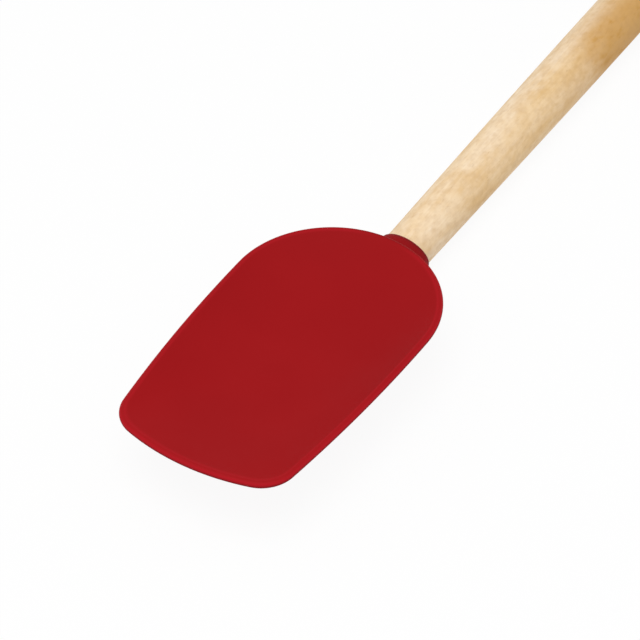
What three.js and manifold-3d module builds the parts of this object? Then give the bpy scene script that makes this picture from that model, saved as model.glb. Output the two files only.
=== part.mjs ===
// A silicone stirring spoon: a red silicone head, moulded over a stiff nylon core, pushed on a turned
// wooden handle.
// Millimetres, +Z up out of the bowl, +X from the head to the butt of the handle.
// The pieces are worked out about the handle's axis, with x = 0 at the mouth of the sleeve,
// and the group at the end sets the spoon down on its lowest point, over the origin.

import * as THREE from "three";
import { mergeVertices } from "three/addons/utils/BufferGeometryUtils.js";
import Module from "manifold-3d";

// Driving dimensions: the blade seen from above
const BLADE_WIDTH = 62;
const BLADE_LENGTH = 105.7;
const SIDE_RADIUS = 497; // long arcs that draw the sides in towards the tip
const TIP_RADIUS = 69;
const TIP_CORNER_RADIUS = 10.8;
const RIM_SETBACK = 10.1; // from the sleeve's mouth to the back of the rim

// Driving dimensions: the bowl and its skin
const BOWL_DEPTH = 5.3; // from the middle of the rim's bead down to the floor
const BOWL_SWEEP = 2.4; // power of the rise from the floor to the rim
const BOWL_LOW_POINT = 47; // from the back of the rim to the lowest point of the floor
const BEAD_RADIUS = 1.1; // round lip along the rim
const BEAD_LEAN = 20; // degrees by which the bowl's wall leans out where it meets the bead
const SKIN = 1; // silicone over and under the core's plate

// Driving dimensions: the core
const PLATE_THICKNESS = 1.4;
const PLATE_INSET = 9; // soft border left round the plate, measured at the sides
const PLATE_OVER_SOCKET = 0.4; // step from the socket's flat top up to the plate
const SOCKET_WALL = 1.4;
const SOCKET_END = 2;

// Driving dimensions: the handle
const NECK_RADIUS = 7.1;
const BELLY_RADIUS = 8.6;
const BELLY_PLACE = 160; // from the sleeve's mouth to the thickest place
const BUTT_RADIUS = 7.9;
const BUTT_ROUNDING = 4;
const HANDLE_REACH = 196; // from the sleeve's mouth to the butt
const TENON_LENGTH = 34;
const TENON_THICKNESS = 7.2; // across the two flats
const TENON_CHAMFER = 0.8;

// Driving dimensions: the sleeve and the spine under the bowl
const COLLAR_DEPTH = 8; // how far the neck goes into the sleeve
const SLEEVE_WALL = 0.75;
const MOUTH_SLANT = 17.5; // degrees: the mouth's underside reaches further along the handle
const MOUTH_LIP = 0.3; // silicone left at the very edge of the mouth
const MOUTH_ROUNDING = 2.4; // length over which the lip rounds out to the sleeve
const WEB_LENGTH = 5; // length over which the top of the sleeve rises into the back of the rim
const SPINE_FILLET = 5;
const SPINE_RUNOUT = 34; // from the end of the socket to where the spine has faded away
const SPINE_TIP_RADIUS = 1.2;
const FILLET_GROWTH = 3; // how far the blade comes down on the sleeve while the fillet grows to its full size

// Clearances
const PUSH_FIT = 0.2; // wood in its socket
const BOND_GAP = 0.3; // silicone round the core
const SEAT_GAP = 0.3; // the handle's shoulder on the end of the socket
const SOCKET_BOTTOM_GAP = 1; // beyond the tip of the tenon
const ROOT_SINK = 0.6; // how far the spine's fillet is rooted in the blade
const CUT_PASS = 5; // how far a cut runs past what it cuts

// Facets
const BACK_STEPS = 10;
const SIDE_STEPS = 5;
const CORNER_STEPS = 5;
const TIP_STEPS = 5;
const ROUND_STEPS = 36;
const HANDLE_STEPS = 14;
const BUTT_STEPS = 5;
const LIP_STEPS = 3;
const SLEEVE_STEPS = 9;
const RUNOUT_STEPS = 9;
const UNDER_STEPS = 7;
const FILLET_STEPS = 3;
const ROOF_STEPS = 6;
const BOWL_SHARES = [0.25, 0.45, 0.62, 0.76, 0.88]; // rings of the bowl, from its low point to the rim
const PLATE_SHARES = [0.4, 0.75, 1]; // rings of the plate, from the low point to its edge
const BEAD_ANGLES = [90, 60, 30, 0, -35]; // degrees: rings round the bead, between its two edges
const NO_FILLET = 0.05; // radius of the fillet where the sleeve stands clear of the blade
const ROOT_HIGHEST = 0.85; // shares of a section's radius between which its fillet may be rooted
const ROOT_LOWEST = -0.9;
const ROOT_TRIES = 24;
const SHARE_TRIES = 20;
const FLATTEST = 0.05; // smallest slope with which a section's top is cut off

// Worked out from the driving dimensions
const SHOULDER_X = -COLLAR_DEPTH;
const TENON_RADIUS = NECK_RADIUS - SOCKET_WALL - PUSH_FIT;
const TENON_TIP_X = SHOULDER_X - TENON_LENGTH;
const SOCKET_MOUTH_X = SHOULDER_X - SEAT_GAP;
const SOCKET_BOTTOM_X = TENON_TIP_X - SOCKET_BOTTOM_GAP;
const SOCKET_END_X = SOCKET_BOTTOM_X - SOCKET_END;
const SOCKET_TOP_Z = TENON_THICKNESS / 2 + PUSH_FIT + SOCKET_WALL;
const FLOOR_Z = SOCKET_TOP_Z + PLATE_OVER_SOCKET + BOND_GAP + SKIN;
const RIM_Z = FLOOR_Z + BOWL_DEPTH;
const BLADE_THICKNESS = PLATE_THICKNESS + 2 * (SKIN + BOND_GAP);
const UNDERSIDE_Z = FLOOR_Z - BLADE_THICKNESS;
const SLEEVE_RADIUS = NECK_RADIUS + BOND_GAP + SLEEVE_WALL;
const BACK_X = -RIM_SETBACK;
const TIP_X = BACK_X - BLADE_LENGTH;
const LOW_POINT_X = BACK_X - BOWL_LOW_POINT;
const PLATE_SHARE = 1 - PLATE_INSET / (BLADE_WIDTH / 2);

const radians = THREE.MathUtils.degToRad;
const lerp = THREE.MathUtils.lerp;
const smoothstep = THREE.MathUtils.smoothstep;
const smootherstep = THREE.MathUtils.smootherstep;

const wasm = await Module();
wasm.setup();

// A closed three.js geometry as a solid that can be joined and cut
function solidOf(geometry) {
  const bare = geometry.clone();
  bare.deleteAttribute("normal");
  bare.deleteAttribute("uv");
  const welded = mergeVertices(bare);
  const corners = welded.index.array;
  const kept = [];
  for (let i = 0; i < corners.length; i += 3) {
    const [a, b, c] = corners.slice(i, i + 3);
    if (a !== b && b !== c && c !== a) kept.push(a, b, c);
  }
  const mesh = new wasm.Mesh({
    numProp: 3,
    vertProperties: welded.attributes.position.array,
    triVerts: new Uint32Array(kept),
  });
  return new wasm.Manifold(mesh);
}

// A finished solid as a named mesh with its own finish
function meshOf(name, solid, finish) {
  const { vertProperties, triVerts } = solid.getMesh();
  const geometry = new THREE.BufferGeometry();
  geometry.setAttribute("position", new THREE.BufferAttribute(vertProperties, 3));
  geometry.setIndex(new THREE.BufferAttribute(triVerts, 1));
  geometry.computeVertexNormals();
  const mesh = new THREE.Mesh(geometry, new THREE.MeshStandardMaterial(finish));
  mesh.name = name;
  return mesh;
}

// A closed skin over a row of rings, drawn together at a point at each end
function loft(first, rings, last) {
  const points = [first, ...rings.flat(), last];
  const count = rings[0].length;
  const corner = (ring, i) => 1 + ring * count + (i % count);
  const faces = [];
  for (let i = 0; i < count; i++) {
    faces.push(0, corner(0, i), corner(0, i + 1));
    faces.push(points.length - 1, corner(rings.length - 1, i + 1), corner(rings.length - 1, i));
    for (let ring = 0; ring + 1 < rings.length; ring++) {
      faces.push(corner(ring, i), corner(ring + 1, i), corner(ring + 1, i + 1));
      faces.push(corner(ring, i), corner(ring + 1, i + 1), corner(ring, i + 1));
    }
  }
  const geometry = new THREE.BufferGeometry().setFromPoints(points);
  geometry.setIndex(faces);
  return solidOf(geometry);
}

// The middle of the corner arc that runs smoothly from the side arc into the tip arc
function tipCornerCentre(sideCentre, tipCentre) {
  const fromSide = SIDE_RADIUS - TIP_CORNER_RADIUS;
  const fromTip = TIP_RADIUS - TIP_CORNER_RADIUS;
  const across = tipCentre.clone().sub(sideCentre);
  const apart = across.length();
  const along = (fromSide ** 2 - fromTip ** 2 + apart ** 2) / (2 * apart);
  const beside = Math.sqrt(fromSide ** 2 - along ** 2);
  const unit = across.divideScalar(apart);
  const square = new THREE.Vector2(unit.y, -unit.x);
  return sideCentre.clone().addScaledVector(unit, along).addScaledVector(square, -beside);
}

// The blade's outline from above, once round from the back, as points with their outward directions
function bladeOutline() {
  const half = BLADE_WIDTH / 2;
  const backCentre = new THREE.Vector2(BACK_X - half, 0);
  const sideCentre = new THREE.Vector2(BACK_X - half, half - SIDE_RADIUS);
  const tipCentre = new THREE.Vector2(TIP_X + TIP_RADIUS, 0);
  const cornerCentre = tipCornerCentre(sideCentre, tipCentre);
  const sideEnd = cornerCentre.clone().sub(sideCentre).angle();
  const cornerEnd = cornerCentre.clone().sub(tipCentre).angle();
  const arcs = [
    [backCentre, half, 0, Math.PI / 2, BACK_STEPS],
    [sideCentre, SIDE_RADIUS, Math.PI / 2, sideEnd, SIDE_STEPS],
    [cornerCentre, TIP_CORNER_RADIUS, sideEnd, cornerEnd, CORNER_STEPS],
    [tipCentre, TIP_RADIUS, cornerEnd, Math.PI, TIP_STEPS],
  ];
  const upper = [];
  for (const [centre, radius, from, to, steps] of arcs) {
    for (let i = 0; i < steps; i++) {
      const angle = lerp(from, to, i / steps);
      const out = new THREE.Vector2(Math.cos(angle), Math.sin(angle));
      upper.push({ at: centre.clone().addScaledVector(out, radius), out });
    }
  }
  const tip = { at: new THREE.Vector2(TIP_X, 0), out: new THREE.Vector2(-1, 0) };
  const mirrored = ({ at, out }) => ({
    at: new THREE.Vector2(at.x, -at.y),
    out: new THREE.Vector2(out.x, -out.y),
  });
  return [...upper, tip, ...upper.slice(1).reverse().map(mirrored)];
}

const outline = bladeOutline();
const lowPoint = new THREE.Vector2(LOW_POINT_X, 0);

// A ring round the rim's bead: 0 degrees is its outermost line and 90 its top
function beadRing(degrees) {
  const inset = BEAD_RADIUS * (1 - Math.cos(radians(degrees)));
  const z = RIM_Z + BEAD_RADIUS * Math.sin(radians(degrees));
  return outline.map(({ at, out }) => {
    const p = at.clone().addScaledVector(out, -inset);
    return new THREE.Vector3(p.x, p.y, z);
  });
}

const innerEdge = beadRing(90 + BEAD_LEAN);
const outerEdge = beadRing(BEAD_LEAN - 90);
const rimThickness = innerEdge[0].z - outerEdge[0].z;
const plateEdge = PLATE_SHARE + BOND_GAP / (BLADE_WIDTH / 2);

// Heights along any ray from the bowl's low point, by the share of the way to the rim
const bowlTop = (share) => lerp(FLOOR_Z, innerEdge[0].z, share ** BOWL_SWEEP);
const thickness = (share) => lerp(BLADE_THICKNESS, rimThickness, smoothstep(share, plateEdge, 1));
const underside = (share) => bowlTop(share) - thickness(share);

// How far the oval of the bowl's floor would reach along a ray from the low point
function ovalReach(edge, ray) {
  const lengthwise = (ray.x > 0 ? edge[0].x : edge[edge.length / 2].x) - LOW_POINT_X;
  return ray.length() / Math.hypot(ray.x / lengthwise, ray.y / (BLADE_WIDTH / 2));
}

// A ring at a share of the way from the low point to an edge, at one height: an oval near the floor
// that takes on the outline of the edge as it nears it
const alongRay = (oval, reach, share) => share * lerp(oval, reach, share ** 2);
function shareRing(edge, share, z) {
  return edge.map((p) => {
    const ray = new THREE.Vector2(p.x, p.y).sub(lowPoint);
    const reach = ray.length();
    const distance = alongRay(ovalReach(edge, ray), reach, share);
    const q = lowPoint.clone().addScaledVector(ray, distance / reach);
    return new THREE.Vector3(q.x, q.y, z);
  });
}

// The share of the way from the low point to the rim at a place seen from above, and 1 beyond the rim
function shareAt(x, y) {
  const ray = new THREE.Vector2(x, Math.abs(y)).sub(lowPoint);
  const distance = ray.length();
  if (distance === 0) return 0;
  const half = outerEdge.slice(0, outerEdge.length / 2 + 1);
  const rays = half.map((p) => new THREE.Vector2(p.x, p.y).sub(lowPoint));
  const turn = Math.atan2(ray.y, ray.x);
  const next = Math.max(1, rays.findIndex((other) => Math.atan2(other.y, other.x) >= turn));
  const chord = rays[next].clone().sub(rays[next - 1]);
  const reach = (distance * rays[next - 1].cross(chord)) / ray.cross(chord);
  const oval = ovalReach(outerEdge, ray);
  let low = 0;
  let high = 1;
  for (let i = 0; i < SHARE_TRIES; i++) {
    const middle = (low + high) / 2;
    if (alongRay(oval, reach, middle) < distance) low = middle;
    else high = middle;
  }
  return high;
}

// The dished blade: the bowl's floor, the bead round the rim, and the underside, which thins towards the rim
function blade() {
  const beadAngles = [90 + BEAD_LEAN, ...BEAD_ANGLES, BEAD_LEAN - 90];
  const rings = [
    ...BOWL_SHARES.map((share) => shareRing(innerEdge, share, bowlTop(share))),
    ...beadAngles.map(beadRing),
    ...BOWL_SHARES.toReversed().map((share) => shareRing(outerEdge, share, underside(share))),
  ];
  const floor = new THREE.Vector3(LOW_POINT_X, 0, FLOOR_Z);
  const below = new THREE.Vector3(LOW_POINT_X, 0, UNDERSIDE_Z);
  return loft(floor, rings, below);
}

// One section of the sleeve and spine, from its lowest point round by +Y and back, about its own centre:
// a round underside, a hollow fillet out to its root in the blade, and a top that stays below the bowl
function spineSection({ radius, root, fillet, top }) {
  const rootY = Math.sqrt((radius + fillet) ** 2 - (root - fillet) ** 2);
  const touch = Math.atan2(root - fillet, rootY);
  const rootAngle = Math.atan2(root, rootY);
  const rootReach = Math.hypot(root, rootY);
  const right = [];
  for (let i = 0; i <= UNDER_STEPS; i++) {
    const angle = lerp(-Math.PI / 2, touch, i / UNDER_STEPS);
    right.push([radius * Math.cos(angle), radius * Math.sin(angle)]);
  }
  for (let i = 1; i <= FILLET_STEPS; i++) {
    const angle = lerp(touch + Math.PI, Math.PI / 2, i / FILLET_STEPS);
    right.push([rootY + fillet * Math.cos(angle), root - fillet + fillet * Math.sin(angle)]);
  }
  for (let i = 1; i <= ROOF_STEPS; i++) {
    const angle = lerp(rootAngle, Math.PI / 2, i / ROOF_STEPS);
    const reach = Math.min(lerp(rootReach, top, i / ROOF_STEPS), top / Math.max(Math.sin(angle), FLATTEST));
    right.push([reach * Math.cos(angle), reach * Math.sin(angle)]);
  }
  right.at(-1)[0] = 0;
  const left = right.slice(1, -1).reverse().map(([y, z]) => [-y, z]);
  return [...right, ...left];
}

// The fillet of a section, which grows as the blade's underside comes down on the sleeve, and the height
// above the section's centre at which it runs out into that underside
function rootedFillet(x, centreZ, radius, lift, largest) {
  const highest = radius * ROOT_HIGHEST;
  let fillet = NO_FILLET;
  let root = highest;
  let rootY = radius;
  for (let i = 0; i < ROOT_TRIES; i++) {
    const meets = (underside(shareAt(x, rootY)) + ROOT_SINK - centreZ) / lift;
    fillet = lerp(NO_FILLET, largest, smoothstep(highest - meets, 0, FILLET_GROWTH));
    root = THREE.MathUtils.clamp(meets, radius * ROOT_LOWEST, highest);
    rootY = (rootY + Math.sqrt((radius + fillet) ** 2 - (root - fillet) ** 2)) / 2;
  }
  return { fillet, root };
}

// The sleeve that takes the handle, and the spine that it runs out into under the bowl
function sleeveAndSpine() {
  const spineTipX = SOCKET_END_X - SPINE_RUNOUT;
  const lipRadius = NECK_RADIUS + PUSH_FIT + MOUTH_LIP;
  const places = [];
  for (let i = 0; i < LIP_STEPS; i++) {
    const turn = ((Math.PI / 2) * i) / LIP_STEPS;
    places.push(-MOUTH_ROUNDING * (1 - Math.cos(turn)));
  }
  for (let i = 0; i < SLEEVE_STEPS; i++) {
    places.push(lerp(-MOUTH_ROUNDING, SOCKET_END_X, i / SLEEVE_STEPS));
  }
  for (let i = 0; i <= RUNOUT_STEPS; i++) {
    places.push(lerp(SOCKET_END_X, spineTipX, i / RUNOUT_STEPS));
  }
  const rings = places.map((x) => {
    const share = shareAt(x, 0);
    const underZ = underside(share);
    const faded = smootherstep(-x, -SOCKET_END_X, -spineTipX);
    const lip = Math.min(1, -x / MOUTH_ROUNDING);
    const sleeveRadius = lerp(lipRadius, SLEEVE_RADIUS, Math.sqrt(1 - (1 - lip) ** 2));
    const radius = lerp(sleeveRadius, SPINE_TIP_RADIUS, faded);
    const centreZ = lerp(-sleeveRadius, underZ + ROOT_SINK, faded) + radius;
    const largest = lerp(SPINE_FILLET, SPINE_TIP_RADIUS, faded);
    const roof = bowlTop(share) - SKIN - centreZ;
    const risen = lerp(radius, RIM_Z, smoothstep(-x, RIM_SETBACK - WEB_LENGTH, RIM_SETBACK));
    const lift = Math.max(1, Math.min(risen, roof) / radius);
    const { fillet, root } = rootedFillet(x, centreZ, radius, lift, largest);
    const section = spineSection({ radius, root, fillet, top: Math.min(radius, roof) });
    const slope = Math.tan(radians(lerp(MOUTH_SLANT, 0, smoothstep(-x, 0, RIM_SETBACK))));
    return section.map(([y, z]) => {
      const height = z > 0 ? z * lift : z;
      return new THREE.Vector3(x - height * slope, y, centreZ + height);
    });
  });
  const last = new THREE.Vector3(spineTipX, 0, underside(shareAt(spineTipX, 0)) + 2 * SPINE_TIP_RADIUS);
  return loft(new THREE.Vector3(0, 0, 0), rings, last);
}

// A bar along X with two flats, above and below, on an otherwise round section
function flattedBar(fromX, toX, radius, halfThickness) {
  const reach = Math.asin(halfThickness / radius);
  const shape = new THREE.Shape();
  shape.absarc(0, 0, radius, -reach, reach);
  shape.absarc(0, 0, radius, Math.PI - reach, Math.PI + reach);
  const depth = Math.abs(toX - fromX);
  const curveSegments = ROUND_STEPS / 4;
  const bar = new THREE.ExtrudeGeometry(shape, { depth, bevelEnabled: false, curveSegments });
  bar.rotateX(Math.PI / 2).rotateZ(Math.PI / 2);
  bar.translate(Math.min(fromX, toX), 0, 0);
  return solidOf(bar);
}

// A round body along X from its profile of [x, radius] pairs, which starts and ends on the axis
function turned(profile) {
  const points = profile.map(([x, radius]) => new THREE.Vector2(radius, x));
  return solidOf(new THREE.LatheGeometry(points, ROUND_STEPS).rotateZ(-Math.PI / 2));
}

// The core's dished plate, grown all round by a gap where it is used to hollow the silicone
function plate(grow) {
  const top = (share) => bowlTop(share) - SKIN - BOND_GAP + grow;
  const bottom = (share) => bowlTop(share) - SKIN - BOND_GAP - PLATE_THICKNESS - grow;
  const edge = PLATE_SHARE + grow / (BLADE_WIDTH / 2);
  const rings = [
    ...PLATE_SHARES.map((s) => shareRing(innerEdge, s * edge, top(s * edge))),
    ...PLATE_SHARES.toReversed().map((s) => shareRing(innerEdge, s * edge, bottom(s * edge))),
  ];
  const above = new THREE.Vector3(LOW_POINT_X, 0, top(0));
  const below = new THREE.Vector3(LOW_POINT_X, 0, bottom(0));
  return loft(above, rings, below);
}

// The outside of the core's socket, grown in the same way
function socketBlock(grow) {
  const mouthX = SOCKET_MOUTH_X + grow;
  const endX = SOCKET_END_X - grow;
  return flattedBar(mouthX, endX, NECK_RADIUS + grow, SOCKET_TOP_Z + grow);
}

function stiffenerCore() {
  const bore = flattedBar(
    SOCKET_MOUTH_X + CUT_PASS,
    SOCKET_BOTTOM_X,
    TENON_RADIUS + PUSH_FIT,
    TENON_THICKNESS / 2 + PUSH_FIT,
  );
  return plate(0).add(socketBlock(0)).subtract(bore);
}

function siliconeHead() {
  const boreRadius = NECK_RADIUS + PUSH_FIT;
  const mouthPass = SLEEVE_RADIUS + CUT_PASS;
  const neckBore = turned([
    [SOCKET_MOUTH_X, 0],
    [SOCKET_MOUTH_X, boreRadius],
    [mouthPass, boreRadius],
    [mouthPass, 0],
  ]);
  const hollow = plate(BOND_GAP).add(socketBlock(BOND_GAP)).add(neckBore);
  return blade().add(sleeveAndSpine()).subtract(hollow);
}

// The handle's profile: the tenon, its shoulder, the swelling grip and the rounded butt with its small flat
function handleProfile() {
  const profile = [
    [TENON_TIP_X, 0],
    [TENON_TIP_X, TENON_RADIUS - TENON_CHAMFER],
    [TENON_TIP_X + TENON_CHAMFER, TENON_RADIUS],
    [SHOULDER_X, TENON_RADIUS],
    [SHOULDER_X, NECK_RADIUS],
  ];
  const roundingX = HANDLE_REACH - BUTT_ROUNDING;
  for (let i = 0; i <= HANDLE_STEPS; i++) {
    const share = i / HANDLE_STEPS;
    const swell = Math.sin((share * Math.PI) / 2);
    profile.push([BELLY_PLACE * share, lerp(NECK_RADIUS, BELLY_RADIUS, swell)]);
  }
  for (let i = 1; i <= BUTT_STEPS; i++) {
    const share = i / BUTT_STEPS;
    const swell = Math.cos((share * Math.PI) / 2);
    profile.push([lerp(BELLY_PLACE, roundingX, share), lerp(BUTT_RADIUS, BELLY_RADIUS, swell)]);
  }
  for (let i = 1; i <= BUTT_STEPS; i++) {
    const angle = ((Math.PI / 2) * i) / BUTT_STEPS;
    const radius = BUTT_RADIUS - BUTT_ROUNDING * (1 - Math.cos(angle));
    profile.push([roundingX + BUTT_ROUNDING * Math.sin(angle), radius]);
  }
  profile.push([HANDLE_REACH, 0]);
  return profile;
}

function woodenHandle() {
  const waste = NECK_RADIUS;
  const length = TENON_LENGTH + CUT_PASS;
  const offcut = new THREE.BoxGeometry(length, 2 * (NECK_RADIUS + CUT_PASS), waste);
  const offcutX = SHOULDER_X - length / 2;
  const offcutZ = (TENON_THICKNESS + waste) / 2;
  const above = solidOf(offcut.clone().translate(offcutX, 0, offcutZ));
  const below = solidOf(offcut.clone().translate(offcutX, 0, -offcutZ));
  return turned(handleProfile()).subtract(above).subtract(below);
}

const spoon = new THREE.Group();
spoon.add(
  meshOf("silicone_head", siliconeHead(), { color: 0xa01a1c, roughness: 0.55, metalness: 0 }),
  meshOf("stiffener_core", stiffenerCore(), { color: 0x2b2b2d, roughness: 0.5, metalness: 0 }),
  meshOf("wooden_handle", woodenHandle(), { color: 0xe6c999, roughness: 0.6, metalness: 0 }),
);
const lowestZ = -Math.max(BELLY_RADIUS, SLEEVE_RADIUS);
const middleX = (TIP_X + HANDLE_REACH) / 2;
for (const piece of spoon.children) piece.position.set(-middleX, 0, -lowestZ);

export default spoon;
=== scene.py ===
"""A silicone stirring spoon: a red head over a nylon core, pushed on a turned wooden handle.

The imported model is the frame. The silicone head and the wooden handle are made again here as fine
meshes from the same sizes, and the core keeps its own solid with a better finish.
Sizes are in millimetres from the middle of the sleeve's mouth, on the handle's axis: +X runs to the
butt, +Z up out of the bowl. They are set in the row's frame, in metres, when a mesh is made.
"""

import math

import bmesh
import bpy
import numpy as np
from mathutils import Matrix, Vector


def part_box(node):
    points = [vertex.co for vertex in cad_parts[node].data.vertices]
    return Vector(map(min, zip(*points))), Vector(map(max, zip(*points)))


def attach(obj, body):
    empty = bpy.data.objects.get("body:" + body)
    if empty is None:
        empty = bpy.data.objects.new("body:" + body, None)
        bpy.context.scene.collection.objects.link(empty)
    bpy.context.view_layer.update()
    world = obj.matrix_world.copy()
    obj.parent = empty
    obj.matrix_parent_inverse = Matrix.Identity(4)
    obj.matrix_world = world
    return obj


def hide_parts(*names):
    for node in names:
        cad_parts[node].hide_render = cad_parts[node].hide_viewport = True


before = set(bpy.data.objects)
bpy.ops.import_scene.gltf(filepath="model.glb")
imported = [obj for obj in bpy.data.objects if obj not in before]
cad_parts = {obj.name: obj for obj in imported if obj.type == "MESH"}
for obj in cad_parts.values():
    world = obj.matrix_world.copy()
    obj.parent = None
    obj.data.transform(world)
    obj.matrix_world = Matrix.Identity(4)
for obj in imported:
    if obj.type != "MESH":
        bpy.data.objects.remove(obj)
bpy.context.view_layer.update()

MM = 0.001

# The blade seen from above
BLADE_WIDTH = 62
BLADE_LENGTH = 105.7
SIDE_RADIUS = 497
TIP_RADIUS = 69
TIP_CORNER_RADIUS = 10.8
RIM_SETBACK = 10.1

# The bowl and its skin
BOWL_DEPTH = 5.3
BOWL_SWEEP = 2.4
BOWL_LOW_POINT = 47
BEAD_RADIUS = 1.1
BEAD_LEAN = 20
SKIN = 1

# The room for the core
PLATE_THICKNESS = 1.4
PLATE_INSET = 9
PLATE_OVER_SOCKET = 0.4
SOCKET_WALL = 1.4
SOCKET_END = 2
BOND_GAP = 0.3

# The handle
NECK_RADIUS = 7.1
BELLY_RADIUS = 8.6
BELLY_PLACE = 160
BUTT_RADIUS = 7.9
BUTT_ROUNDING = 4
HANDLE_REACH = 196
TENON_LENGTH = 34
TENON_THICKNESS = 7.2
TENON_CHAMFER = 0.8
TENON_FIT = 0.2
SOCKET_BOTTOM_GAP = 1

# The sleeve and the spine under the bowl
COLLAR_DEPTH = 8
SLEEVE_WALL = 0.75
MOUTH_SLANT = 17.5
MOUTH_LIP = 0.3
MOUTH_ROUNDING = 2.4
MOUTH_FIT = 0.06
WEB_LENGTH = 5  # over which the sleeve's top rises into the back of the rim
SEAT_GAP = 0.3
SPINE_FILLET = 5
SPINE_RUNOUT = 34
SPINE_TIP_RADIUS = 1.2
ROOT_SINK = 0.25  # how far a fillet runs on into the blade
ROOT_HIGHEST = 0.85  # above a section's centre, in its radii
ROOT_LOWEST = 0.9  # below a section's centre, in its radii
FILLET_GROWTH = 3  # how far the blade comes down on the sleeve until the fillet is full
SMALLEST_FILLET = 0.02
CUT_PASS = 5  # how far a cut goes past the piece

# How finely the meshes are drawn
BACK_STEPS = 44
SIDE_STEPS = 26
CORNER_STEPS = 18
TIP_STEPS = 26
BOWL_STEPS = 30
LAST_SHARE = 0.983  # one more ring of the bowl, close to the bead
BEAD_STEPS = 16
LIP_STEPS = 10
SLEEVE_STEPS = 44
RUNOUT_STEPS = 44
UNDER_STEPS = 30
FILLET_STEPS = 14
ROOF_STEPS = 8
ROUND_STEPS = 96
GRIP_STEPS = 64
BUTT_STEPS = 14
CREASE_ANGLE = 38
WELD = 0.01

# Limits of the sums behind the shapes
ROOT_TRIES = 24
NEWTON_STEPS = 8
FARTHEST_SHARE = 1.2  # where the search for a share starts at most
ROUND_ON = 0.1  # radians of round section that take a fillet's points where there is none
FLATTEST = 0.05  # least slope of a line from a section's centre to its flat top
TINY = 1e-6

# The marks along the rim for its finish, by degrees round the bead: 0 is its outermost line
RIM_START = 0.8  # the share of the way from the bowl's low point where the rim is looked for
RIM_SLACK = 0.1  # how far outside the outline a place still counts as the rim
OFF_BEAD = -180.0  # the angle of places that aren't on the rim
# A painted highlight along the top of the bead
HIGHLIGHT_ANGLES = (-10, 10, 30, 46, 62, 79, 100, 110, 140)
HIGHLIGHT_AMOUNTS = (0, 0.45, 0.95, 0.85, 0.42, 0.22, 0.30, 0.55, 0)
# Painted shade on the bead's outer, lower face
EDGE_SHADE_ANGLES = (-70, -37, -14, 14)
EDGE_SHADE_AMOUNTS = (0, 1, 1, 0)
BEAD_FOOT = (-70, -30)
BEAD_INSIDE = (90, 110)

# The painted shade in the corner behind the rim, in millimetres and amounts
CORNER_REACH = 2
CORNER_FAINT = 0.4
CORNER_FADE = (0.3, 1.8)
RIM_SHADE = 0.3

# The wood's painted side shade and stains, by place in the row's frame in metres, and its end grain
SIDE_SHADE_ALONG = (-0.035, -0.012)
SIDE_SHADE_ACROSS = (0.001, -0.008)
STAIN_START = (0.050, 0.084)
STAIN_FADE = (0.105, 0.150)
STAIN_SIDE = (0.0070, -0.0045)
STAIN_DRIFT = 0.02
END_GRAIN = (0.75, 0.98)  # how far a face must look along the handle

# The camera, from the photograph: degrees, millimetres and pixels
CAMERA_BEARING = 211.88
CAMERA_RISE = 42.84
CAMERA_DISTANCE = 811.5
FOCAL_PIXELS = 2784.5
PICTURE_PIXELS = 640
SENSOR_WIDTH = 36
NECK_X = 1.49
NECK_PIXEL = (408.75, 248.40)

# The studio, in metres and watts
NEAREST_SEEN = 0.01
FLOOR_HALF = 12.0
FLOOR_DROP = 0.0001
FLOOR_PALE = (0.9, 0.9, 0.9, 1)
FLOOR_ROUGHNESS = 0.9
FLOOR_WHITENESS = 0.93
FLOOR_FADE = (0.5, 1.5)  # how far from the spoon the floor turns quite white
KEY_SPOT = (-0.42, -0.08, 1.25)
KEY_SIZE = 1.0
KEY_POWER = 9.6
SKY_STRENGTH = 0.55

# Worked out from the sizes above
HALF_WIDTH = BLADE_WIDTH / 2
SHOULDER_X = -COLLAR_DEPTH
TENON_RADIUS = NECK_RADIUS - SOCKET_WALL - TENON_FIT
TENON_TIP_X = SHOULDER_X - TENON_LENGTH
SOCKET_MOUTH_X = SHOULDER_X - SEAT_GAP
SOCKET_END_X = TENON_TIP_X - SOCKET_BOTTOM_GAP - SOCKET_END
SOCKET_TOP_Z = TENON_THICKNESS / 2 + TENON_FIT + SOCKET_WALL
FLOOR_Z = SOCKET_TOP_Z + PLATE_OVER_SOCKET + BOND_GAP + SKIN
RIM_Z = FLOOR_Z + BOWL_DEPTH
BLADE_THICKNESS = PLATE_THICKNESS + 2 * (SKIN + BOND_GAP)
SLEEVE_RADIUS = NECK_RADIUS + BOND_GAP + SLEEVE_WALL
BACK_X = -RIM_SETBACK
TIP_X = BACK_X - BLADE_LENGTH
LOW_POINT_X = BACK_X - BOWL_LOW_POINT
PLATE_SHARE = 1 - PLATE_INSET / HALF_WIDTH

# Where the mouth of the sleeve is in the row's frame
head_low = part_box("silicone_head")[0]
handle_low, handle_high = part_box("wooden_handle")
MOUTH = np.array([head_low[0] - TIP_X * MM, 0, (handle_low[2] + handle_high[2]) / 2])


def smoothstep(value, low, high):
    """0 up to the low value and 1 from the high one, with an even slope at both."""
    share = np.clip((value - low) / (high - low), 0, 1)
    return share * share * (3 - 2 * share)


def smootherstep(value, low, high):
    """The same, with no sudden bend at either."""
    share = np.clip((value - low) / (high - low), 0, 1)
    return share ** 3 * (share * (share * 6 - 15) + 10)


def lerp(start, end, share):
    """A share of the way from the start to the end."""
    return start + (end - start) * share


def mesh_piece(name, points, faces):
    """A mesh object from points in millimetres about the sleeve's mouth."""
    mesh = bpy.data.meshes.new(name)
    mesh.from_pydata((np.asarray(points) * MM + MOUTH).tolist(), [], faces)
    mesh.update()
    piece = bpy.data.objects.new(name, mesh)
    bpy.context.scene.collection.objects.link(piece)
    return piece


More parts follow.
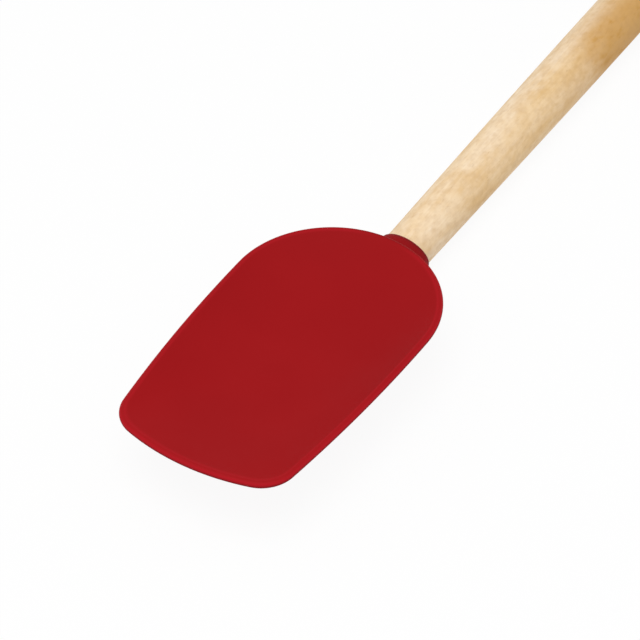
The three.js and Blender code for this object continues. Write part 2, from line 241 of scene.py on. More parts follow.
def lofted(name, first, rings, last):
    """A closed skin over a row of rings, drawn together at a point at each end."""
    rings = np.asarray(rings)
    rows, count = rings.shape[:2]
    points = np.vstack([[first], rings.reshape(-1, 3), [last]])
    end = len(points) - 1
    faces = []
    for i in range(count):
        j = (i + 1) % count
        faces.append((0, 1 + i, 1 + j))
        faces.append((end, 1 + (rows - 1) * count + j, 1 + (rows - 1) * count + i))
        for row in range(rows - 1):
            here, there = 1 + row * count, 1 + (row + 1) * count
            faces.append((here + i, there + i, there + j, here + j))
    return mesh_piece(name, points, faces)


def combined(body, tool, operation):
    """Joins a tool to a body, or cuts it away, and takes the tool off the bench."""
    step = body.modifiers.new("step", "BOOLEAN")
    step.operation = operation
    step.solver = "MANIFOLD"
    step.object = tool
    graph = bpy.context.evaluated_depsgraph_get()
    result = bpy.data.meshes.new_from_object(body.evaluated_get(graph))
    body.modifiers.clear()
    result.materials.clear()  # a joined mesh starts with an empty place for a material
    old = body.data
    body.data = result
    bpy.data.meshes.remove(old)
    bpy.data.objects.remove(tool)
    return body


def smoothed(piece):
    """Welds slivers away and smooths the faces, with the real corners left crisp."""
    skin = bmesh.new()
    skin.from_mesh(piece.data)
    bmesh.ops.triangulate(skin, faces=skin.faces)
    bmesh.ops.remove_doubles(skin, verts=skin.verts, dist=WELD * MM)
    skin.to_mesh(piece.data)
    skin.free()
    piece.data.shade_smooth()
    piece.data.set_sharp_from_angle(angle=math.radians(CREASE_ANGLE))
    return piece


# The blade's outline


def tip_corner_centre(side_centre, tip_centre):
    """The middle of the corner arc that runs smoothly from the side arc into the tip arc."""
    from_side = SIDE_RADIUS - TIP_CORNER_RADIUS
    from_tip = TIP_RADIUS - TIP_CORNER_RADIUS
    across = tip_centre - side_centre
    apart = np.linalg.norm(across)
    along = (from_side ** 2 - from_tip ** 2 + apart ** 2) / (2 * apart)
    beside = math.sqrt(from_side ** 2 - along ** 2)
    unit = across / apart
    return side_centre + unit * along - np.array([unit[1], -unit[0]]) * beside


def bladed_outline():
    """Points of the outline, once round from the back by +Y, and their outward directions."""
    back_centre = np.array([BACK_X - HALF_WIDTH, 0])
    side_centre = np.array([BACK_X - HALF_WIDTH, HALF_WIDTH - SIDE_RADIUS])
    tip_centre = np.array([TIP_X + TIP_RADIUS, 0])
    corner_centre = tip_corner_centre(side_centre, tip_centre)
    to_corner = corner_centre - side_centre
    from_tip = corner_centre - tip_centre
    side_end = math.atan2(to_corner[1], to_corner[0])
    corner_end = math.atan2(from_tip[1], from_tip[0])
    arcs = [
        (back_centre, HALF_WIDTH, 0, math.pi / 2, BACK_STEPS),
        (side_centre, SIDE_RADIUS, math.pi / 2, side_end, SIDE_STEPS),
        (corner_centre, TIP_CORNER_RADIUS, side_end, corner_end, CORNER_STEPS),
        (tip_centre, TIP_RADIUS, corner_end, math.pi, TIP_STEPS),
    ]
    places, outward = [], []
    for centre, radius, start, end, steps in arcs:
        for i in range(steps):
            angle = lerp(start, end, i / steps)
            out = np.array([math.cos(angle), math.sin(angle)])
            places.append(centre + out * radius)
            outward.append(out)
    mirror = np.array([1, -1])
    places = [*places, [TIP_X, 0], *[p * mirror for p in reversed(places[1:])]]
    outward = [*outward, [-1, 0], *[p * mirror for p in reversed(outward[1:])]]
    return np.array(places), np.array(outward)


OUTLINE, OUTWARD = bladed_outline()
TIP_INDEX = len(OUTLINE) // 2


def bead_ring(degrees):
    """A ring round the rim's bead: 0 degrees is its outermost line and 90 its top."""
    angle = math.radians(degrees)
    plan = OUTLINE - OUTWARD * BEAD_RADIUS * (1 - math.cos(angle))
    return np.column_stack([plan, np.full(len(plan), RIM_Z + BEAD_RADIUS * math.sin(angle))])


INNER_EDGE = bead_ring(90 + BEAD_LEAN)
OUTER_EDGE = bead_ring(BEAD_LEAN - 90)
RIM_THICKNESS = INNER_EDGE[0, 2] - OUTER_EDGE[0, 2]
PLATE_EDGE = PLATE_SHARE + BOND_GAP / HALF_WIDTH


def bowl_top(share):
    """The height of the bowl's floor at a share of the way from its low point to the rim."""
    return lerp(FLOOR_Z, INNER_EDGE[0, 2], share ** BOWL_SWEEP)


def underside(share):
    """The height of the blade's underside, which thins out past the core's plate."""
    thinning = smoothstep(share, PLATE_EDGE, 1)
    return bowl_top(share) - lerp(BLADE_THICKNESS, RIM_THICKNESS, thinning)


def oval_reach(edge, ray):
    """How far the oval of the bowl's floor would reach along each ray from the low point."""
    reach = np.hypot(ray[:, 0], ray[:, 1])
    lengthwise = np.where(ray[:, 0] > 0, edge[0, 0], edge[TIP_INDEX, 0]) - LOW_POINT_X
    return 1 / np.hypot(ray[:, 0] / reach / lengthwise, ray[:, 1] / reach / HALF_WIDTH)


def share_ring(edge, share, height):
    """A ring part of the way to an edge: an oval near the floor, the edge's own outline near it."""
    ray = edge[:, :2] - [LOW_POINT_X, 0]
    reach = np.hypot(ray[:, 0], ray[:, 1])
    distance = share * lerp(oval_reach(edge, ray), reach, share ** 2)
    plan = [LOW_POINT_X, 0] + ray * (distance / reach)[:, None]
    return np.column_stack([plan, np.full(len(plan), height)])


EDGE_RAYS = OUTER_EDGE[:TIP_INDEX + 1, :2] - [LOW_POINT_X, 0]
EDGE_ANGLES = np.arctan2(EDGE_RAYS[:, 1], EDGE_RAYS[:, 0])
EDGE_ANGLES[-1] = math.pi
EDGE_REACHES = np.hypot(EDGE_RAYS[:, 0], EDGE_RAYS[:, 1])


def share_at(x, y):
    """The share of the way from the bowl's low point to the rim at places seen from above."""
    x, y = np.atleast_1d(x).astype(float), np.abs(np.atleast_1d(y)).astype(float)
    ray = np.column_stack([x - LOW_POINT_X, y])
    distance = np.maximum(np.hypot(ray[:, 0], ray[:, 1]), TINY)
    reach = np.interp(np.arctan2(ray[:, 1], ray[:, 0]), EDGE_ANGLES, EDGE_REACHES)
    ray = ray + [TINY, 0]
    oval = oval_reach(OUTER_EDGE, ray)
    share = np.clip(distance / reach, 0, FARTHEST_SHARE)
    for _ in range(NEWTON_STEPS):
        miss = share * oval + share ** 3 * (reach - oval) - distance
        share = share - miss / (oval + 3 * share ** 2 * (reach - oval))
    return np.clip(share, 0, 1)


# The silicone head


def blade():
    """The dished blade: the bowl's floor, the bead round the rim, and the underside."""
    shares = np.append(np.linspace(0, 1, BOWL_STEPS + 1)[1:-1], LAST_SHARE)
    angles = np.linspace(90 + BEAD_LEAN, BEAD_LEAN - 90, BEAD_STEPS + 1)
    rings = [share_ring(INNER_EDGE, share, bowl_top(share)) for share in shares]
    rings += [bead_ring(angle) for angle in angles]
    rings += [share_ring(OUTER_EDGE, share, underside(share)) for share in reversed(shares)]
    floor = [LOW_POINT_X, 0, FLOOR_Z]
    below = [LOW_POINT_X, 0, FLOOR_Z - BLADE_THICKNESS]
    return lofted("blade", floor, rings, below)


def spine_section(radius, root, fillet, top):
    """One section of the sleeve and spine about its own centre, from the lowest point round by +Y:
    a round underside, a hollow fillet out to its root in the blade, and a top below the bowl.
    With no fillet the section stays round."""
    root_y = math.sqrt((radius + fillet) ** 2 - (root - fillet) ** 2)
    root_angle = math.atan2(root, root_y)
    root_reach = math.hypot(root, root_y)
    touch = math.atan2(root - fillet, root_y) if fillet else root_angle - ROUND_ON
    right = []
    for angle in np.linspace(-math.pi / 2, touch, UNDER_STEPS + 1):
        right.append([radius * math.cos(angle), radius * math.sin(angle)])
    for share in np.linspace(0, 1, FILLET_STEPS + 1)[1:]:
        if fillet:
            angle = lerp(touch + math.pi, math.pi / 2, share)
            right.append([root_y + fillet * math.cos(angle), root + fillet * (math.sin(angle) - 1)])
        else:
            angle = lerp(touch, root_angle, share)
            right.append([radius * math.cos(angle), radius * math.sin(angle)])
    for share in np.linspace(0, 1, ROOF_STEPS + 1)[1:]:
        angle = lerp(root_angle, math.pi / 2, share)
        reach = min(lerp(root_reach, top, share), top / max(math.sin(angle), FLATTEST))
        right.append([reach * math.cos(angle), reach * math.sin(angle)])
    right[-1][0] = 0
    return np.array(right + [[-y, z] for y, z in reversed(right[1:-1])])


def rooted_fillet(x, centre_z, radius, lift, largest):
    """A section's fillet, which grows as the blade's underside comes down on the sleeve, and how
    high above the section's centre it runs out into that underside."""
    highest = radius * ROOT_HIGHEST
    root_y = radius
    for _ in range(ROOT_TRIES):
        meets = (underside(share_at(x, root_y)[0]) + ROOT_SINK - centre_z) / lift
        fillet = largest * smoothstep(highest - meets, 0, FILLET_GROWTH)
        root = min(max(meets, -radius * ROOT_LOWEST), highest)
        found_y = math.sqrt((radius + fillet) ** 2 - (root - fillet) ** 2)
        root_y = (root_y + found_y) / 2
    return (fillet, root) if fillet > SMALLEST_FILLET else (0, root)


def sleeve_and_spine():
    """The sleeve that takes the handle, and the spine that it runs out into under the bowl."""
    spine_tip_x = SOCKET_END_X - SPINE_RUNOUT
    lip_radius = NECK_RADIUS + MOUTH_FIT + MOUTH_LIP
    turns = np.linspace(0, math.pi / 2, LIP_STEPS + 1)[:-1]
    places = [
        *(-MOUTH_ROUNDING * (1 - np.cos(turns))),
        *np.linspace(-MOUTH_ROUNDING, SOCKET_END_X, SLEEVE_STEPS + 1)[:-1],
        *np.linspace(SOCKET_END_X, spine_tip_x, RUNOUT_STEPS + 1),
    ]
    rings = []
    for x in places:
        share = share_at(min(x, BACK_X), 0)[0]
        under_z = underside(share)
        faded = smootherstep(-x, -SOCKET_END_X, -spine_tip_x)
        lip = min(1, -x / MOUTH_ROUNDING)
        sleeve_radius = lerp(lip_radius, SLEEVE_RADIUS, math.sqrt(1 - (1 - lip) ** 2))
        radius = lerp(sleeve_radius, SPINE_TIP_RADIUS, faded)
        centre_z = lerp(-sleeve_radius, under_z + ROOT_SINK, faded) + radius
        largest = lerp(SPINE_FILLET, SPINE_TIP_RADIUS, faded)
        roof = bowl_top(share) - SKIN - centre_z
        risen = lerp(radius, RIM_Z, smoothstep(-x, RIM_SETBACK - WEB_LENGTH, RIM_SETBACK))
        lift = max(1, min(risen, roof) / radius)
        fillet, root = rooted_fillet(x, centre_z, radius, lift, largest)
        section = spine_section(radius, root, fillet, min(radius, roof))
        slope = math.tan(math.radians(lerp(MOUTH_SLANT, 0, smoothstep(-x, 0, RIM_SETBACK))))
        y, z = section.T
        z = np.where(z > 0, z * lift, z)
        rings.append(np.column_stack([x - z * slope, y, centre_z + z]))
    last = [spine_tip_x, 0, underside(share_at(spine_tip_x, 0)[0]) + 2 * SPINE_TIP_RADIUS]
    return lofted("sleeve", [0, 0, 0], rings, last)


def flatted_bar(name, low_x, high_x, radius, half_thickness):
    """A bar along X with two flats, above and below, on an otherwise round section."""
    reach = math.asin(half_thickness / radius)
    arc = np.linspace(-reach, reach, ROUND_STEPS // 4 + 1)
    angles = np.concatenate([arc, arc + math.pi])
    section = np.column_stack([np.cos(angles), np.sin(angles)]) * radius
    rings = [np.column_stack([np.full(len(section), x), section]) for x in (high_x, low_x)]
    return lofted(name, [high_x, 0, 0], rings, [low_x, 0, 0])


def turned(name, profile):
    """A round body along X from its profile of x and radius, which starts and ends on the axis."""
    angles = np.linspace(0, 2 * math.pi, ROUND_STEPS + 1)[:-1]
    circle = np.column_stack([np.zeros(ROUND_STEPS), np.cos(angles), np.sin(angles)])
    rings = [circle * radius + [x, 0, 0] for x, radius in reversed(profile[1:-1])]
    return lofted(name, [profile[-1][0], 0, 0], rings, [profile[0][0], 0, 0])


def plate_room():
    """The room in the silicone for the core's dished plate."""
    shares = np.linspace(0, PLATE_EDGE, BOWL_STEPS // 2 + 1)[1:]
    drop = SKIN + PLATE_THICKNESS + 2 * BOND_GAP
    rings = [share_ring(INNER_EDGE, share, bowl_top(share) - SKIN) for share in shares]
    rings += [share_ring(INNER_EDGE, share, bowl_top(share) - drop) for share in reversed(shares)]
    above = [LOW_POINT_X, 0, FLOOR_Z - SKIN]
    below = [LOW_POINT_X, 0, FLOOR_Z - drop]
    return lofted("plate_room", above, rings, below)


def silicone_head():
    """The blade, the sleeve and the spine in one, with the bore and the room for the core."""
    bore = NECK_RADIUS + MOUTH_FIT
    past = SLEEVE_RADIUS + CUT_PASS
    room = turned(
        "room", [(SOCKET_MOUTH_X, 0), (SOCKET_MOUTH_X, bore), (past, bore), (past, 0)]
    )
    socket_room = flatted_bar(
        "socket_room",
        SOCKET_END_X - BOND_GAP,
        SOCKET_MOUTH_X + BOND_GAP,
        NECK_RADIUS + BOND_GAP,
        SOCKET_TOP_Z + BOND_GAP,
    )
    combined(room, socket_room, "UNION")
    combined(room, plate_room(), "UNION")
    head = combined(blade(), sleeve_and_spine(), "UNION")
    combined(head, room, "DIFFERENCE")
    head.name = head.data.name = "moulded_head"
    return smoothed(head)


# The wooden handle


def handle_profile():
    """The tenon, its shoulder, the swelling grip and the rounded butt with its small flat."""
    profile = [
        (TENON_TIP_X, 0),
        (TENON_TIP_X, TENON_RADIUS - TENON_CHAMFER),
        (TENON_TIP_X + TENON_CHAMFER, TENON_RADIUS),
        (SHOULDER_X, TENON_RADIUS),
        (SHOULDER_X, NECK_RADIUS),
    ]
    for share in np.linspace(0, 1, GRIP_STEPS + 1):
        swell = math.sin(share * math.pi / 2)
        profile.append((BELLY_PLACE * share, lerp(NECK_RADIUS, BELLY_RADIUS, swell)))
    rounding_x = HANDLE_REACH - BUTT_ROUNDING
    for share in np.linspace(0, 1, BUTT_STEPS + 1)[1:]:
        swell = math.cos(share * math.pi / 2)
        radius = lerp(BUTT_RADIUS, BELLY_RADIUS, swell)
        profile.append((lerp(BELLY_PLACE, rounding_x, share), radius))
    for turn in np.linspace(0, math.pi / 2, BUTT_STEPS + 1)[1:]:
        radius = BUTT_RADIUS - BUTT_ROUNDING * (1 - math.cos(turn))
        profile.append((rounding_x + BUTT_ROUNDING * math.sin(turn), radius))
    profile.append((HANDLE_REACH, 0))
    return profile


def box_tool(name, low, high):
    """A plain box to cut with."""
    x0, y0, z0 = low
    x1, y1, z1 = high
    points = [(x, y, z) for z in (z0, z1) for y in (y0, y1) for x in (x0, x1)]
    faces = [(0, 2, 3, 1), (4, 5, 7, 6), (0, 1, 5, 4), (2, 6, 7, 3), (0, 4, 6, 2), (1, 3, 7, 5)]
    return mesh_piece(name, points, faces)


def wooden_handle():
    """The turned stick, with the two flats cut on its tenon."""
    handle = turned("turned_handle", handle_profile())
    flat = TENON_THICKNESS / 2
    wide = 2 * NECK_RADIUS
    end = TENON_TIP_X - CUT_PASS
    above = box_tool("above", (end, -wide, flat), (SHOULDER_X, wide, wide))
    below = box_tool("below", (end, -wide, -wide), (SHOULDER_X, wide, -flat))
    combined(handle, above, "DIFFERENCE")
    combined(handle, below, "DIFFERENCE")
    handle.name = handle.data.name = "turned_handle"
    return smoothed(handle)


# Finishes


def place(tree, kind, **settings):
    """A node with its settings."""
    node = tree.nodes.new(kind)
    for name, value in settings.items():
        setattr(node, name, value)
    return node


def feed(tree, socket, source):
    """Links a socket to a source, or sets its value."""
    if isinstance(source, bpy.types.NodeSocket):
        tree.links.new(source, socket)
    else:
        socket.default_value = source


def mixed(tree, amount, first, second):
    """Two colours mixed by an amount."""
    node = place(tree, "ShaderNodeMix", data_type="RGBA")
    used = [socket for socket in node.inputs if socket.enabled]
    for socket, source in zip(used, (amount, first, second)):
        feed(tree, socket, source)
    return next(socket for socket in node.outputs if socket.enabled)


def sum_of(tree, operation, first, second):
    """A sum of two values, or another operation on them."""
    node = place(tree, "ShaderNodeMath", operation=operation)
    feed(tree, node.inputs[0], first)
    feed(tree, node.inputs[1], second)
    return node.outputs[0]


def product(tree, first, *others):
    """Values multiplied together."""
    for other in others:
        first = sum_of(tree, "MULTIPLY", first, other)
    return first


def ranged(tree, value, low, high, start=0.0, end=1.0):
    """A value eased from one range into another."""
    node = place(tree, "ShaderNodeMapRange", interpolation_type="SMOOTHSTEP")
    names = ("Value", "From Min", "From Max", "To Min", "To Max")
    for name, source in zip(names, (value, low, high, start, end)):
        feed(tree, node.inputs[name], source)
    return node.outputs["Result"]


def mottle_group():
    """Soft patches, drawn out along the spoon or even all round: a mask from 0 to 1."""
    group = bpy.data.node_groups.new("mottle", "ShaderNodeTree")
    sockets = (
        ("Lengthwise", 60.0), ("Across", 60.0), ("Detail", 3.0), ("Place", 0.0),
        ("Low", 0.35), ("High", 0.65),
    )
    for name, value in sockets:
        made = group.interface.new_socket(name=name, in_out="INPUT", socket_type="NodeSocketFloat")
        made.default_value = value
    group.interface.new_socket(name="Mask", in_out="OUTPUT", socket_type="NodeSocketFloat")
    entry = place(group, "NodeGroupInput").outputs
    leave = place(group, "NodeGroupOutput").inputs
    where = place(group, "ShaderNodeTexCoord").outputs["Object"]
    scale = place(group, "ShaderNodeCombineXYZ")
    feed(group, scale.inputs[0], entry["Lengthwise"])
    feed(group, scale.inputs[1], entry["Across"])
    feed(group, scale.inputs[2], entry["Across"])
    stretch = place(group, "ShaderNodeVectorMath", operation="MULTIPLY")
    feed(group, stretch.inputs[0], where)
    feed(group, stretch.inputs[1], scale.outputs[0])
    noise = place(group, "ShaderNodeTexNoise", noise_dimensions="4D")
    feed(group, noise.inputs["Vector"], stretch.outputs[0])
    feed(group, noise.inputs["W"], entry["Place"])
    feed(group, noise.inputs["Scale"], 1.0)
    feed(group, noise.inputs["Detail"], entry["Detail"])
    mask = ranged(group, noise.outputs[0], entry["Low"], entry["High"])
    feed(group, leave["Mask"], mask)
    return group


MOTTLE = mottle_group()


def mottle(tree, **values):
    """The mottle group placed in a finish with its own values."""
    node = place(tree, "ShaderNodeGroup", node_tree=MOTTLE)
    for name, value in values.items():
        feed(tree, node.inputs[name], value)
    return node.outputs["Mask"]


def finish(name):
    """An empty finish: its node tree and its shader."""
    material = bpy.data.materials.new(name)
    material.use_nodes = True
    tree = material.node_tree
    return material, tree, tree.nodes["Principled BSDF"]


def bumped(tree, shader, height, strength, depth):
    """A fine relief on the surface, its depth in metres."""
    bump = place(tree, "ShaderNodeBump")
    feed(tree, bump.inputs["Strength"], strength)
    feed(tree, bump.inputs["Distance"], depth)
    feed(tree, bump.inputs["Height"], height)
    feed(tree, shader.inputs["Normal"], bump.outputs["Normal"])


def marked(tree, name):
    """The value of a mark on the mesh."""
    return place(tree, "ShaderNodeAttribute", attribute_name=name).outputs["Fac"]


def silicone_finish():
    """Matte red silicone: a painted highlight along the thin rim, painted shade on its edge and
    behind it.
    """
    material, tree, shader = finish("red_silicone")
    red = (0.331, 0.0070, 0.0091, 1)
    deep_red = (0.316, 0.0064, 0.0084, 1)
    highlighted_red = (0.440, 0.0096, 0.0165, 1)
    shaded_edge_red = (0.235, 0.0062, 0.0110, 1)
    shaded_corner_red = (0.180, 0.0058, 0.0075, 1)
    clouds = mottle(tree, Lengthwise=38.0, Across=38.0, Detail=2.0, Low=0.3, High=0.7)
    colour = mixed(tree, clouds, deep_red, red)
    # Painted highlight: a lighter red along the top of the rim's bead
    colour = mixed(tree, marked(tree, "rim_highlight"), colour, highlighted_red)
    # Painted shade: a darker red on the bead's outer, lower face
    colour = mixed(tree, marked(tree, "outer_bead_shade"), colour, shaded_edge_red)
    # Painted shade in the corner behind the rim, broken up by a soft mottle
    corner = marked(tree, "corner_shade")
    shade_mottle = mottle(tree, Lengthwise=150.0, Across=150.0, Detail=3.0, Place=6.0, Low=0.25, High=0.7)
    stain = product(tree, corner, ranged(tree, shade_mottle, 0.0, 1.0, start=0.75))
    feed(tree, shader.inputs["Base Color"], mixed(tree, stain, colour, shaded_corner_red))
    rub = mottle(tree, Lengthwise=45.0, Across=45.0, Detail=2.0, Place=4.0, Low=0.3, High=0.7)
    roughness = ranged(tree, rub, 0.0, 1.0, start=0.52, end=0.58)
    feed(tree, shader.inputs["Roughness"], roughness)
    shader.inputs["Specular IOR Level"].default_value = 0.045
    grain = mottle(tree, Lengthwise=5200.0, Across=5200.0, Detail=2.0, Low=0.2, High=0.8)
    bumped(tree, shader, grain, strength=0.05, depth=0.00001)
    return material


def wood_finish():
    """Pale sanded wood: cream and straw streaks, tan blotches, specks, a honey stain and painted
    side shade.
    """
    material, tree, shader = finish("pale_wood")
    cream = (0.955, 0.775, 0.560, 1)
    straw = (0.93, 0.712, 0.450, 1)
    tan = (0.72, 0.448, 0.170, 1)
    honey = (0.575, 0.290, 0.055, 1)
    fleck_brown = (0.47, 0.250, 0.095, 1)
    end_brown = (0.60, 0.380, 0.180, 1)
    where = place(tree, "ShaderNodeTexCoord")
    axes = place(tree, "ShaderNodeSeparateXYZ")
    feed(tree, axes.inputs[0], where.outputs["Object"])
    streaks = mottle(tree, Lengthwise=16.0, Across=230.0, Detail=4.0, Low=0.32, High=0.68)
    patches = mottle(
        tree, Lengthwise=70.0, Across=150.0, Detail=4.0, Place=7.0, Low=0.44, High=0.74
    )
    blotches = mottle(
        tree, Lengthwise=150.0, Across=330.0, Detail=3.0, Place=5.0, Low=0.48, High=0.76
    )
    fibres = mottle(
        tree, Lengthwise=110.0, Across=2100.0, Detail=3.0, Place=2.0, Low=0.3, High=0.7
    )
    spots = mottle(
        tree, Lengthwise=330.0, Across=640.0, Detail=2.0, Place=15.0, Low=0.40, High=0.72
    )
    flecks = mottle(
        tree, Lengthwise=420.0, Across=1500.0, Detail=2.0, Place=9.0, Low=0.62, High=0.74
    )
    specks = mottle(
        tree, Lengthwise=400.0, Across=560.0, Detail=4.0, Place=21.0, Low=0.38, High=0.70
    )
    along, aside = axes.outputs["X"], axes.outputs["Y"]
    # Painted shade: tan down the handle's -Y side
    side_shade = product(tree, ranged(tree, along, *SIDE_SHADE_ALONG), ranged(tree, aside, *SIDE_SHADE_ACROSS))
    colour = mixed(tree, streaks, cream, straw)
    for mask, share in ((patches, 0.55), (blotches, 0.32), (spots, 0.22), (side_shade, 0.36)):
        colour = mixed(tree, product(tree, mask, share), colour, tan)
    drift = mottle(tree, Lengthwise=30.0, Across=90.0, Detail=3.0, Place=12.0, Low=0.2, High=0.8)
    reach = sum_of(tree, "ADD", along, product(tree, drift, STAIN_DRIFT))
    stain = product(
        tree,
        ranged(tree, reach, *STAIN_START),
        ranged(tree, aside, *STAIN_SIDE, start=0.05),
        ranged(tree, reach, *STAIN_FADE, start=1.0, end=0.35),
        ranged(tree, blotches, 0.0, 1.0, start=0.80),
    )
    colour = mixed(tree, stain, colour, honey)
    facing = place(tree, "ShaderNodeSeparateXYZ")
    feed(tree, facing.inputs[0], where.outputs["Normal"])
    endways = sum_of(tree, "ABSOLUTE", facing.outputs["X"], 0.0)
    end = ranged(tree, endways, *END_GRAIN)
    marks = (
        (fibres, 0.16, tan), (specks, 0.18, fleck_brown), (flecks, 0.22, fleck_brown),
        (end, 0.6, end_brown),
    )
    for mask, share, shade in marks:
        colour = mixed(tree, product(tree, mask, share), colour, shade)
    feed(tree, shader.inputs["Base Color"], colour)
    roughness = ranged(tree, fibres, 0.0, 1.0, start=0.52, end=0.66)
    feed(tree, shader.inputs["Roughness"], roughness)
    shader.inputs["Specular IOR Level"].default_value = 0.25
    relief = sum_of(tree, "SUBTRACT", fibres, flecks)
    bumped(tree, shader, relief, strength=0.18, depth=0.00005)
    return material


def nylon_finish():
    """Dark moulded nylon with faint flow marks."""
    material, tree, shader = finish("core_nylon")
    flow = mottle(tree, Lengthwise=50.0, Across=220.0, Detail=3.0, Low=0.3, High=0.7)
    colour = mixed(tree, flow, (0.020, 0.020, 0.022, 1), (0.034, 0.034, 0.037, 1))
    feed(tree, shader.inputs["Base Color"], colour)
    roughness = ranged(tree, flow, 0.0, 1.0, start=0.42, end=0.58)
    feed(tree, shader.inputs["Roughness"], roughness)
    grain = mottle(tree, Lengthwise=3000.0, Across=3000.0, Detail=2.0, Place=3.0, Low=0.2, High=0.8)
    bumped(tree, shader, grain, strength=0.2, depth=0.00005)
    return material


# The pieces


def bead_angle(x, y, z):
    """Degrees round the rim's bead at places near it."""
    angle = np.full(len(x), OFF_BEAD)
    rim = share_at(x, y) > RIM_START
    plan = np.column_stack([x, y])[rim]
    nearest = ((plan[:, None] - OUTLINE) ** 2).sum(2).argmin(1)
    inset = ((OUTLINE[nearest] - plan) * OUTWARD[nearest]).sum(1)
    round_bead = np.degrees(np.arctan2(z[rim] - RIM_Z, BEAD_RADIUS - inset))
    angle[rim] = np.where(inset > -RIM_SLACK, round_bead, OFF_BEAD)
    return angle


def mark_rim(head):
    """Marks for the finish along the rim: a painted highlight on its thin top, painted shade on its
    outer edge, and painted shade in the corner behind it."""
    count = len(head.data.vertices)
    places = np.empty(count * 3)
    head.data.vertices.foreach_get("co", places)
    x, y, z = ((places.reshape(-1, 3) - MOUTH) / MM).T
    angle = bead_angle(x, y, z)
    on_bead = smoothstep(angle, *BEAD_FOOT) * (1 - smoothstep(angle, *BEAD_INSIDE))
    backed = smoothstep(x, BACK_X - 2 * CORNER_REACH, BACK_X - CORNER_REACH / 2)
    from_mouth = -x - z * math.tan(math.radians(MOUTH_SLANT))
    # Painted shade on the sleeve just behind the rim, darkest at the mouth's edge
    behind = smoothstep(x, BACK_X - CORNER_REACH, BACK_X + CORNER_REACH)
    behind *= smoothstep(np.hypot(y, z), NECK_RADIUS, NECK_RADIUS + MOUTH_LIP)
    behind *= lerp(1, CORNER_FAINT, smoothstep(from_mouth, *CORNER_FADE))
    marks = {
        # painted highlight along the bead's top, faded out near the back
        "rim_highlight": np.interp(angle, HIGHLIGHT_ANGLES, HIGHLIGHT_AMOUNTS) * (1 - backed),
        # painted shade on the bead's outer, lower face
        "outer_bead_shade": np.interp(angle, EDGE_SHADE_ANGLES, EDGE_SHADE_AMOUNTS),
        # painted shade behind the rim, running a little onto the bead near the back
        "corner_shade": lerp(behind, RIM_SHADE * backed, on_bead),
    }
    for name, values in marks.items():
        mark = head.data.attributes.new(name, "FLOAT", "POINT")
        mark.data.foreach_set("value", values.astype(np.float32))


moulded_head = silicone_head()
mark_rim(moulded_head)
moulded_head.data.materials.append(silicone_finish())
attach(moulded_head, "head")
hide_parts("silicone_head")

turned_handle = wooden_handle()
turned_handle.data.materials.append(wood_finish())
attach(turned_handle, "handle")
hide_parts("wooden_handle")

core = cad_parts["stiffener_core"]
core_nylon = nylon_finish()
for slot in core.material_slots:
    slot.material = core_nylon


# The studio


def camera():
    """The camera where the photograph's stood: the middle of the neck falls on its own pixel."""
    bearing, rise = math.radians(CAMERA_BEARING), math.radians(CAMERA_RISE)
    level = Vector((math.cos(bearing), math.sin(bearing), 0))
    back = level * math.cos(rise) + Vector((0, 0, math.sin(rise)))
    right = Vector((-math.sin(bearing), math.cos(bearing), 0))
    up = back.cross(right)
    pixel = CAMERA_DISTANCE / FOCAL_PIXELS * MM
    middle = PICTURE_PIXELS / 2
    neck = Vector(MOUTH) + Vector((NECK_X * MM, 0, 0))
    spot = neck + back * CAMERA_DISTANCE * MM
    spot -= right * (NECK_PIXEL[0] - middle) * pixel
    spot -= up * (middle - NECK_PIXEL[1]) * pixel
    data = bpy.data.cameras.new("camera")
    data.sensor_width = SENSOR_WIDTH
    data.lens = FOCAL_PIXELS / PICTURE_PIXELS * SENSOR_WIDTH
    data.clip_start = NEAREST_SEEN
    made = bpy.data.objects.new("camera", data)
    made.matrix_world = Matrix.Translation(spot) @ Matrix((right, up, back)).transposed().to_4x4()
    bpy.context.scene.collection.objects.link(made)
    bpy.context.scene.camera = made


def white_where_seen(tree, shaded, whiteness):
    """White for rays from the camera and in reflections, with some of the shaded surface left."""
    path = place(tree, "ShaderNodeLightPath").outputs
    seen = sum_of(tree, "MAXIMUM", path["Is Camera Ray"], path["Is Glossy Ray"])
    seen = sum_of(tree, "MAXIMUM", seen, path["Is Transmission Ray"])
    white = place(tree, "ShaderNodeEmission")
    mix = place(tree, "ShaderNodeMixShader")
    feed(tree, mix.inputs[0], product(tree, seen, whiteness))
    feed(tree, mix.inputs[1], shaded)
    feed(tree, mix.inputs[2], white.outputs[0])
    return mix.outputs[0]


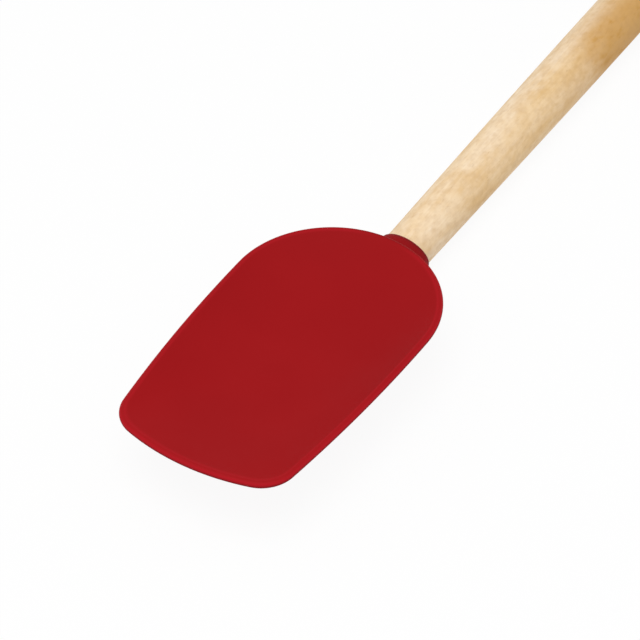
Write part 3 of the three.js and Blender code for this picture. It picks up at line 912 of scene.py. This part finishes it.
def floor():
    """A plain pale floor under the spoon, which keeps a soft shadow and is white far off."""
    mesh = bpy.data.meshes.new("floor")
    turns = ((-1, -1), (1, -1), (1, 1), (-1, 1))
    corners = [(x * FLOOR_HALF, y * FLOOR_HALF, -FLOOR_DROP) for x, y in turns]
    mesh.from_pydata(corners, [], [(0, 1, 2, 3)])
    made = bpy.data.objects.new("floor", mesh)
    bpy.context.scene.collection.objects.link(made)
    material, tree, shader = finish("floor")
    shader.inputs["Base Color"].default_value = FLOOR_PALE
    shader.inputs["Roughness"].default_value = FLOOR_ROUGHNESS
    shader.inputs["Specular IOR Level"].default_value = 0.0
    away = place(tree, "ShaderNodeVectorMath", operation="LENGTH")
    feed(tree, away.inputs[0], place(tree, "ShaderNodeTexCoord").outputs["Object"])
    whiteness = ranged(tree, away.outputs["Value"], *FLOOR_FADE, start=FLOOR_WHITENESS)
    from_above = white_where_seen(tree, shader.outputs[0], whiteness)
    from_below = place(tree, "ShaderNodeBsdfTransparent").outputs[0]
    sides = place(tree, "ShaderNodeMixShader")
    feed(tree, sides.inputs[0], place(tree, "ShaderNodeNewGeometry").outputs["Backfacing"])
    feed(tree, sides.inputs[1], from_above)
    feed(tree, sides.inputs[2], from_below)
    feed(tree, tree.nodes["Material Output"].inputs["Surface"], sides.outputs[0])
    mesh.materials.append(material)


def soft_lamp(name, spot, size, power):
    """A large soft lamp that looks at the spoon."""
    data = bpy.data.lights.new(name, "AREA")
    data.shape = "DISK"
    data.size = size
    data.energy = power
    made = bpy.data.objects.new(name, data)
    made.location = spot
    made.rotation_euler = (-Vector(spot)).to_track_quat("-Z", "Y").to_euler()
    bpy.context.scene.collection.objects.link(made)


def surroundings():
    """Even pale light from all round."""
    world = bpy.data.worlds.new("studio")
    world.use_nodes = True
    bpy.context.scene.world = world
    tree = world.node_tree
    plain = tree.nodes["Background"]
    plain.inputs["Color"].default_value = (1, 1, 1, 1)
    plain.inputs["Strength"].default_value = SKY_STRENGTH
    out = tree.nodes["World Output"].inputs["Surface"]
    feed(tree, out, white_where_seen(tree, plain.outputs[0], 1.0))


camera()
floor()
surroundings()
soft_lamp("key", KEY_SPOT, KEY_SIZE, KEY_POWER)
bpy.context.scene.view_settings.view_transform = "Standard"
